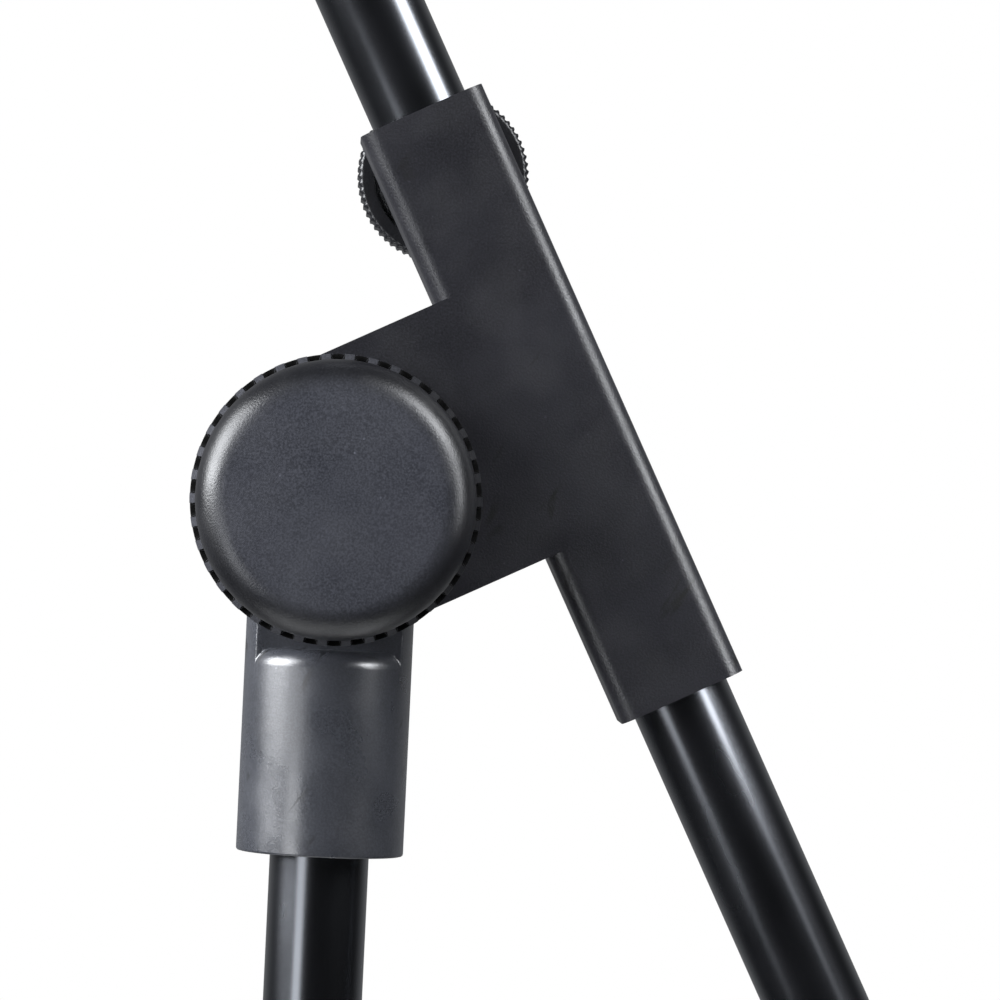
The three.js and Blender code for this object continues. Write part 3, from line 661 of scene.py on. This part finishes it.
def boom_clamp():
    """The T-shaped casting: a square sleeve for the boom and a flat arm that turns on the tilt bolt."""
    section = rounded_square(BOOM_OFFSET, BOOM_Y, SLEEVE_WIDTH, SLEEVE_ROUNDING)
    piece = prism("clamp", section, -SLEEVE_HALF, SLEEVE_HALF)
    arm_outline = arc(0, 0, SLAB_R, 90, 270, 48) + [(BOOM_OFFSET, -SLAB_R), (BOOM_OFFSET, SLAB_R)]
    arm = prism("arm", arm_outline, SLAB_FRONT, SLAB_BACK, "Y")
    back = BOOM_Y + SLEEVE_WIDTH / 2
    boss = moved(rod("boss", LOCK_BOSS_R, back - 1, LOCK_BOSS_END, "Y"), x=BOOM_OFFSET, z=LOCK_UP)
    carve(piece, [arm, boss], "UNION")
    bore = moved(rod("bore", TUBE_R + GAP, -SLEEVE_HALF - 1, SLEEVE_HALF + 1), x=BOOM_OFFSET, y=BOOM_Y)
    bolt_hole = rod("hole", BOLT_HOLE_R, SLAB_FRONT - 1, 0, "Y", 48)
    lock_hole = moved(rod("hole", BOLT_HOLE_R, BOOM_Y, LOCK_BOSS_END + 1, "Y", 48), x=BOOM_OFFSET, z=LOCK_UP)
    carve(piece, [bore, bolt_hole, lock_hole], "DIFFERENCE")
    soften(piece, 0.45)
    stand_in(piece, "boom_clamp", AT_CLAMP, clamp_black)


def side_knob(node, matrix):
    """A small cupped knob with fine teeth, drawn on Z with its cup towards -Z."""
    depth = np.tile([0.0, 0.1, 0.4, 0.3], SIDE_KNOB_TEETH)
    outer, end = SIDE_KNOB_R, SIDE_KNOB_LENGTH
    cup = [(1, 8), (4.1, 8), (4.3, 8), (9.8, 8), (10.9, 7.2), (11.1, 6.4), (11.1, 0.3), (11.3, 0.05)]
    cup += [(11.5, 0), (13, 0)]
    toothed = [(13.5, 0.12, 0.4), (outer, 0.7, 1), (outer, 9.8, 1), (outer - 0.2, 10.4, 0.9)]
    crown = [(outer - 0.9, 10.9), (outer - 1.0, 11.4), *arc(outer - 5, end - 4, 4, 8, 88, 9)]
    crown += [(7.0, end - 0.05), (3.0, end - 0.2), (0.6, end - 0.22)]
    profile = np.array([(a, b, 0.0) for a, b in cup] + toothed + [(a, b, 0.0) for a, b in crown])
    rows = turned_rows(profile[:, :2], len(depth), depth, profile[:, 2])
    stand_in(skin("side_knob", rows), node, matrix, knob_black, sharp=60)


def side_knobs():
    """The boom lock points backwards from the sleeve, and the height lock forwards from the clutch."""
    rim = LOCK_BOSS_END + 1
    centre = PIVOT + (ACROSS * BOOM_OFFSET + ALONG * LOCK_UP + Y_AXIS * rim) * MM
    side_knob("boom_lock_knob", placed(centre, ACROSS, -ALONG, Y_AXIS))
    centre = POLE + (Z_AXIS * CLUTCH_SCREW_Z - Y_AXIS * (CLUTCH_BOSS_REACH + 1)) * MM
    side_knob("height_knob", placed(centre, X_AXIS, Z_AXIS, -Y_AXIS))


# ---------------------------------------------------------------- tubes


def tube(node, outer, wall, low, high, matrix, axis, columns=128):
    edge, inner = wall * 0.35, outer - wall
    corners = [(inner, low, edge), (outer, low, edge), (outer, high, edge), (inner, high, edge)]
    piece = turned("tube", corners, columns, steps=2)
    stand_in(piece, node, matrix, lacquered_tube(f"lacquer_{node}", axis))


def tubes():
    tube("boom_tube", TUBE_R, TUBE_WALL, BOOM_TAIL, BOOM_FRONT, AT_BOOM, ALONG)
    low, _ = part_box("upper_tube")
    tube("upper_tube", TUBE_R, TUBE_WALL, low[2] / MM, PIVOT.z / MM - TUBE_TOP_DROP, AT_POLE, Z_AXIS)
    low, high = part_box("lower_tube")
    tube("lower_tube", LOWER_R, LOWER_WALL, low[2] / MM, high[2] / MM, AT_POLE, Z_AXIS)


# ---------------------------------------------------------------- boom ends


def ribbed(low, high, count, outer, dip):
    """Outline corners of a grip with round ribs between two heights."""
    pitch = (high - low) / count
    corners = []
    for k in range(count):
        start = low + k * pitch
        corners += [(outer, start + 0.15 * pitch, 0.25), (outer, start + 0.62 * pitch, 0.25)]
        corners += [(outer - dip, start + 0.72 * pitch, 0.15), (outer - dip, start + 1.05 * pitch, 0.15)]
    return corners


def tail_cap():
    """A ribbed rubber cap that closes the tail end of the boom."""
    end, mouth, plug = BOOM_TAIL - 2.8, BOOM_TAIL + 12, BOOM_TAIL - GAP
    corners = [(0.2, end, 0), (8.4, end, 1.1), *ribbed(end + 2.2, end + 14, 4, CAP_R, 0.5)]
    corners += [(CAP_R, mouth, 0.4), (TUBE_R + 0.1, mouth, 0.1), (TUBE_R + 0.1, plug, 0), (0.2, plug, 0)]
    stand_in(turned("cap", corners, 72, ring=False, steps=3), "boom_tail_cap", AT_BOOM, rubber_dull)


def threaded_tip():
    """The microphone end: a plug in the tube, a shoulder and a stud with a 16 per inch thread."""
    root = STUD_R - THREAD_DEPTH
    seat = BOOM_FRONT + GAP
    columns = 64
    angles = np.linspace(0, 2 * math.pi, columns, endpoint=False)
    corners = [(0.3, seat - 20, 0), (6.7, seat - 20, 0.5), (6.7, seat, 0)]
    corners += [(TUBE_R, seat, 0.3), (TUBE_R, seat + 4, 0.5), (root, seat + 4, 0)]
    rows = list(turned_rows(rounded(corners, 3, closed=False), columns))
    for height in np.arange(0.3, STUD_LENGTH - 0.2, THREAD_PITCH / 8):
        phase = (height / THREAD_PITCH - angles / (2 * math.pi)) % 1
        crest = 1 - np.abs(2 * phase - 1)
        fade = min(1.0, (STUD_LENGTH - height) / 1.6)
        r = root + THREAD_DEPTH * np.clip(crest * 1.25, 0, 1) * fade - 0.5 * (1 - fade)
        level = np.full(columns, seat + 4 + height)
        rows.append(np.stack([r * np.cos(angles), r * np.sin(angles), level], axis=1))
    end = seat + 4 + STUD_LENGTH
    rows += list(turned_rows([(3.0, end), (0.3, end)], columns))
    stand_in(skin("tip", np.array(rows)), "boom_tip", AT_BOOM, zinc_plate, sharp=50)


def counter_nut():
    """The knurled ring that locks a microphone clip."""
    low = BOOM_FRONT + 4 + 2 * GAP
    depth = np.tile([0.0, 0.25, 0.7, 0.25], NUT_TEETH)
    profile = np.array([
        (5.3, low, 0), (10.6, low, 0), (11.3, low + 0.25, 0), (11.5, low + 0.8, 0),
        (NUT_R, low + 1.2, 1), (NUT_R, low + 7.2, 1), (11.5, low + 7.7, 0), (11.4, low + 8.3, 0),
        (10.8, low + 9.4, 0), (9.9, low + 10, 0), (5.8, low + 10, 0), (5.3, low + 9.5, 0),
    ])
    rows = turned_rows(profile[:, :2], len(depth), depth, profile[:, 2])
    stand_in(skin("nut", rows, ring=True), "counter_nut", AT_BOOM, knob_black, sharp=45)


# ---------------------------------------------------------------- height clutch


def height_clutch():
    """The casting on top of the lower tube, with a boss for the height lock."""
    low, high, lip = CLUTCH_LOW, CLUTCH_HIGH, CLUTCH_LIP + GAP
    corners = [
        (LOWER_R + GAP, low, 0.3), (14.5, low, 0.8), (14.5, low + 12, 3), (CLUTCH_R, low + 20, 4),
        (CLUTCH_R, high - 5, 2), (14.5, high, 0.6), (11, high, 0.2), (11, lip + 3, 0), (9.5, lip + 3, 0),
        (9.5, lip, 0), (LOWER_R + GAP, lip, 0),
    ]
    piece = turned("clutch", corners, 96)
    boss = moved(rod("boss", 8, -CLUTCH_BOSS_REACH, -13, "Y"), z=CLUTCH_SCREW_Z)
    hole = moved(rod("hole", BOLT_HOLE_R, -CLUTCH_BOSS_REACH - 1, 0, "Y", 48), z=CLUTCH_SCREW_Z)
    carve(piece, [boss], "UNION")
    carve(piece, [hole], "DIFFERENCE")
    soften(piece, 0.5, angle=42)
    stand_in(piece, "height_clutch", AT_POLE, cast_black)


def clutch_bush():
    flange = CLUTCH_HIGH + GAP
    corners = [
        (TUBE_R + GAP, flange - 29, 0), (10.7, flange - 29, 0), (10.7, flange, 0), (13, flange, 0.3),
        (13, flange + 2.2, 0.9), (TUBE_R + GAP, flange + 2.2, 0.5),
    ]
    stand_in(turned("bush", corners, 96), "clutch_bush", AT_POLE, knob_black)


# ---------------------------------------------------------------- tripod base


def cheek_outline():
    inner = HUB_R - 5
    outline = [(inner, HUB_LOW + 2), (PIN_OUT + 4, HUB_LOW + 6)]
    outline += arc(PIN_OUT, PIN_Z, 11, -30, 90, 18)
    return outline + [(inner, PIN_Z + 13)]


def hub_arm(azimuth):
    """The two cheeks that hold a leg and the web under them."""
    cheeks = [prism("cheek", cheek_outline(), side, side + 4.5, "Y") for side in (-9.8, 5.3)]
    low, high, reach = HUB_LOW + 5, HUB_LOW + 13, PIN_OUT + 6
    web = prism("web", [(13, low), (reach, low), (reach, high), (13, high)], -6, 6, "Y")
    return [moved(piece, turn=(azimuth, "Z")) for piece in [*cheeks, web]]


def tripod_hub():
    shoulder = HUB_R - HUB_CHAMFER
    corners = [(0.5, HUB_LOW, 0), (HUB_R, HUB_LOW, 1.2), (HUB_R, HUB_HIGH - HUB_CHAMFER, 1.5)]
    corners += [(shoulder, HUB_HIGH, 1.2), (0.5, HUB_HIGH, 0)]
    piece = turned("hub", corners, 72, ring=False)
    arms, cuts = [], []
    for k in (1, 2, 3):
        azimuth = leg_azimuth(k)
        arms += hub_arm(azimuth)
        hole = moved(rod("hole", LEG_PIN_R, -20, 20, "Y", 32), x=PIN_OUT, z=PIN_Z)
        cuts.append(moved(hole, turn=(azimuth, "Z")))
    cuts.append(rod("bore", LOWER_R + GAP, HUB_LOW - 1, HUB_HIGH + 1))
    carve(piece, arms, "UNION")
    carve(piece, cuts, "DIFFERENCE")
    soften(piece, 0.7, angle=38)
    stand_in(piece, "tripod_hub", AT_POLE, cast_black)


def leg_azimuth(number):
    out = Vector(joints[f"leg_{number}_fold"]["pos_m"]) - POLE
    return math.degrees(math.atan2(out.y, out.x))


def leg_matrix(number):
    """Millimetres from the hinge pin, with X out along the leg, to the row frame."""
    turn = Matrix.Rotation(math.radians(leg_azimuth(number)), 4, "Z")
    pin = Vector(joints[f"leg_{number}_fold"]["pos_m"])
    slope = Matrix.Rotation(LEG_SLOPE, 4, "Y")
    return Matrix.Translation(pin) @ turn @ slope @ Matrix.Scale(MM, 4)


def leg_lug(number, matrix):
    tongue_outline = arc(0, 0, LEG_LUG_R, 90, 270, 24) + [(15, -LEG_LUG_R), (15, LEG_LUG_R)]
    piece = prism("lug", tongue_outline, -LEG_LUG_HALF, LEG_LUG_HALF, "Y")
    collar = moved(rod("collar", LEG_TUBE_R, 14, 17), turn=(90, "Y"))
    plug = moved(rod("plug", LEG_TUBE_R - LEG_TUBE_WALL - GAP, 15, 42), turn=(90, "Y"))
    carve(piece, [collar, plug], "UNION")
    carve(piece, [rod("hole", LEG_PIN_R, -20, 20, "Y", 32)], "DIFFERENCE")
    soften(piece, 0.5)
    stand_in(piece, f"leg_hinge_lug_{number}", matrix, cast_black)


def leg_tube(number, matrix):
    start, end = 15 + 2 + GAP, LEG_REACH - 5 - GAP
    along_x = Matrix.Rotation(math.radians(90), 4, "Y")
    axis = (matrix.to_3x3() @ X_AXIS).normalized()
    tube(f"leg_tube_{number}", LEG_TUBE_R, LEG_TUBE_WALL, start, end, matrix @ along_x, axis, 64)


def leg_foot(number, matrix):
    """A rubber cup with ribs round it, flattened by wear where it meets the floor."""
    start = LEG_REACH - 36
    bore = LEG_TUBE_R + GAP
    corners = [(bore, start, 0.3), (11.6, start, 0.6), (11.8, start + 2.2, 0.3)]
    corners += ribbed(start + 3, start + 27, 5, FOOT_R, 0.9)
    corners += [(FOOT_R, start + 29, 0.3), (FOOT_R, LEG_REACH, 3), (0.4, LEG_REACH, 0)]
    corners += [(0.4, LEG_REACH - 5, 0), (bore, LEG_REACH - 5, 0)]
    piece = turned("foot", corners, 64, steps=3)
    piece.data.transform(Matrix.Rotation(math.radians(90), 4, "Y"))
    piece.data.transform(matrix)
    cut = bmesh.new()
    cut.from_mesh(piece.data)
    everything = list(cut.verts) + list(cut.edges) + list(cut.faces)
    bmesh.ops.bisect_plane(cut, geom=everything, plane_co=(0, 0, 0), plane_no=(0, 0, -1), clear_outer=True)
    bmesh.ops.holes_fill(cut, edges=[edge for edge in cut.edges if edge.is_boundary])
    cut.to_mesh(piece.data)
    cut.free()
    stand_in(piece, f"leg_foot_{number}", Matrix.Identity(4), rubber_dull)


def leg_bolt(number):
    """A hexagon bolt and nut through the clevis."""
    pin = Vector(joints[f"leg_{number}_fold"]["pos_m"])
    out = Matrix.Rotation(math.radians(leg_azimuth(number)), 3, "Z") @ X_AXIS
    matrix = placed(pin, out, Z_AXIS.cross(out), Z_AXIS)
    seat = 10.1
    shank = rod("shank", 2.9, -seat - 1, seat + 1, "Y", 32)
    head = prism("head", circle(5.5, 6), -seat - 3.5, -seat, "Y")
    nut = prism("nut", circle(5.5, 6), seat, seat + 3.5, "Y")
    carve(shank, [head, nut], "UNION")
    soften(shank, 0.35)
    stand_in(shank, f"leg_bolt_{number}", matrix, zinc_plate)


def tripod():
    tripod_hub()
    for number in (1, 2, 3):
        matrix = leg_matrix(number)
        leg_lug(number, matrix)
        leg_tube(number, matrix)
        leg_foot(number, matrix)
        leg_bolt(number)


# ---------------------------------------------------------------- nodes that keep their shape

KEPT = {
    "hub_cap": knob_black,
    "hub_screw": zinc_plate,
    "glide_bush": natural_nylon,
    "friction_disc": pressed_fibre,
    "tilt_bolt": zinc_plate,
    "tilt_bolt_washer": zinc_plate,
    "tilt_washer": zinc_plate,
    "tilt_knob_insert": turned_brass,
    "boom_lock_screw": zinc_plate,
    "boom_lock_pad": turned_brass,
    "height_screw": zinc_plate,
    "height_pad": turned_brass,
}


def dress_kept_nodes():
    for node, material in KEPT.items():
        for slot in frame["nodes"][node].material_slots:
            slot.material = material


# ---------------------------------------------------------------- studio


ROOM_COLOUR = rgb(0.95, 0.97, 1.0)
ROOM_FRONT = 0.02
ROOM_BACK = 0.24
LAMP_COLOUR = (0.95, 0.97, 1.0)

# name, rise above the pivot (m), azimuth and elevation (degrees), distance, width and height (m), radiance
LAMPS_AT_JOINT = [
    ("key", 0.0, -74, 20, 1.1, 0.75, 0.75, 14.5),
    ("low_left", -0.11, -40, 0, 0.3, 0.10, 0.13, 3.4),
    ("near_right", 0.02, 60, 0, 0.16, 0.027, 0.055, 8),
]
# name, turn round the boom from the front (degrees), place along it, width and height (m), radiance
LAMPS_AT_BOOM = [
    ("strip", 66, 0.17, 0.27, 0.4, 11),
    ("tail_left", -50, -0.125, 0.12, 0.1, 0.3),
    ("tail_right", 56, -0.125, 0.12, 0.1, 0.8),
]
BOOM_LAMP_DISTANCE = 0.65
PANEL_HEIGHT = 0.8
PANEL_SIDE = 2.2
PANEL_RADIANCE = 1.25

FLOOR_R = 1050
FLOOR_FADE = (0.36, 0.80)

# The camera's offset to the right and its lens are in widths of its frame.
CAMERA_OFFSET = 0.164
CAMERA_LENS = 5.571
CAMERA_ROLL = 2.7
CAMERA_DISTANCE = 0.9
SENSOR_WIDTH = 36


def studio_sky():
    """A white room for the camera. Every other ray meets a dim room with a brighter wall at the back."""
    world = bpy.data.worlds.new("studio")
    bpy.context.scene.world = world
    world.use_nodes = True
    tree = world.node_tree
    tree.nodes.clear()
    make, link = tree.nodes.new, tree.links.new
    split = make("ShaderNodeSeparateXYZ")
    link(make("ShaderNodeTexCoord").outputs["Generated"], split.inputs[0])
    room = make("ShaderNodeMapRange")
    room.interpolation_type = "SMOOTHSTEP"
    link(split.outputs["Y"], room.inputs["Value"])
    for key, value in {"From Min": 0.2, "From Max": 0.9, "To Min": ROOM_FRONT, "To Max": ROOM_BACK}.items():
        room.inputs[key].default_value = value
    dim, white = make("ShaderNodeBackground"), make("ShaderNodeBackground")
    dim.inputs["Color"].default_value = ROOM_COLOUR
    link(room.outputs["Result"], dim.inputs["Strength"])
    white.inputs["Color"].default_value = rgb(1, 1, 1)
    mix = make("ShaderNodeMixShader")
    link(make("ShaderNodeLightPath").outputs["Is Camera Ray"], mix.inputs[0])
    link(dim.outputs[0], mix.inputs[1])
    link(white.outputs[0], mix.inputs[2])
    link(mix.outputs[0], make("ShaderNodeOutputWorld").inputs["Surface"])
    bpy.context.scene.view_settings.view_transform = "Standard"


def softbox(name, centre, target, upright, width, height, radiance):
    """A flat light of a size in metres that the camera doesn't see. upright is the way its height runs."""
    data = bpy.data.lights.new(name, "AREA")
    data.shape = "RECTANGLE"
    data.size = width
    data.size_y = height
    data.energy = radiance * math.pi * width * height
    data.color = LAMP_COLOUR
    out = (centre - target).normalized()
    side = upright.cross(out).normalized()
    turn = Matrix((side, out.cross(side), out)).transposed().to_4x4()
    lamp = bpy.data.objects.new(name, data)
    lamp.matrix_world = Matrix.Translation(centre) @ turn
    lamp.visible_camera = False
    bpy.context.scene.collection.objects.link(lamp)


def towards(azimuth, elevation):
    """A direction from the joint. Azimuth 0 is -Y, and 90 is +X."""
    a, e = math.radians(azimuth), math.radians(elevation)
    return Vector((math.sin(a) * math.cos(e), -math.cos(a) * math.cos(e), math.sin(e)))


def beside_boom(turn):
    """The direction away from the boom, turned round it from the front."""
    turn = math.radians(turn)
    return ACROSS * math.sin(turn) - Y_AXIS * math.cos(turn)


def studio_lights():
    """A large softbox, small lamps near the joint, strips along the boom and a panel over the base."""
    for name, rise, azimuth, elevation, distance, width, height, radiance in LAMPS_AT_JOINT:
        target = PIVOT + Z_AXIS * rise
        centre = target + towards(azimuth, elevation) * distance
        softbox(name, centre, target, Z_AXIS, width, height, radiance)
    for name, turn, along, width, height, radiance in LAMPS_AT_BOOM:
        target = PIVOT + ALONG * along
        softbox(name, target + beside_boom(turn) * BOOM_LAMP_DISTANCE, target, ALONG, width, height, radiance)
    over_base = Vector((POLE.x, POLE.y, PANEL_HEIGHT))
    softbox("base_panel", over_base, POLE, Y_AXIS, PANEL_SIDE, PANEL_SIDE, PANEL_RADIANCE)


def floor():
    """A pale round floor that fades out at its rim."""
    piece = prism("floor", circle(FLOOR_R, 96), -6, -1.0)
    piece.data.transform(Matrix.Scale(MM, 4))
    s = Shading("pale_floor")
    s.set(Base_Color=s.mix(s.ramp(s.noise(14, 4.0), 0.3, 0.7), rgb(0.90, 0.90, 0.90), rgb(0.92, 0.92, 0.92)))
    s.set(Roughness=0.7, Alpha=s.ramp(s.vector("LENGTH", s.place)["Value"], *FLOOR_FADE, 1.0, 0.0))
    piece.data.materials.append(s.material)


def camera():
    """A long lens straight in front of the pivot, turned a little to the right and rolled."""
    data = bpy.data.cameras.new("camera")
    data.sensor_width = SENSOR_WIDTH
    data.lens = CAMERA_LENS * SENSOR_WIDTH
    turn = math.atan(CAMERA_OFFSET / CAMERA_LENS)
    roll = math.radians(CAMERA_ROLL)
    rolled = (X_AXIS * math.cos(roll) + Z_AXIS * math.sin(roll)).normalized()
    forward = Y_AXIS * math.cos(turn) + rolled * math.sin(turn)
    right = rolled * math.cos(turn) - Y_AXIS * math.sin(turn)
    facing = Matrix((right, right.cross(forward), -forward)).transposed().to_4x4()
    view = bpy.data.objects.new("camera", data)
    view.matrix_world = Matrix.Translation(PIVOT - Y_AXIS * CAMERA_DISTANCE) @ facing
    bpy.context.scene.collection.objects.link(view)
    bpy.context.scene.camera = view


camera()
studio_sky()
studio_lights()
floor()
tilt_knob()
socket()
boom_clamp()
side_knobs()
tubes()
tail_cap()
threaded_tip()
counter_nut()
height_clutch()
clutch_bush()
tripod()
dress_kept_nodes()
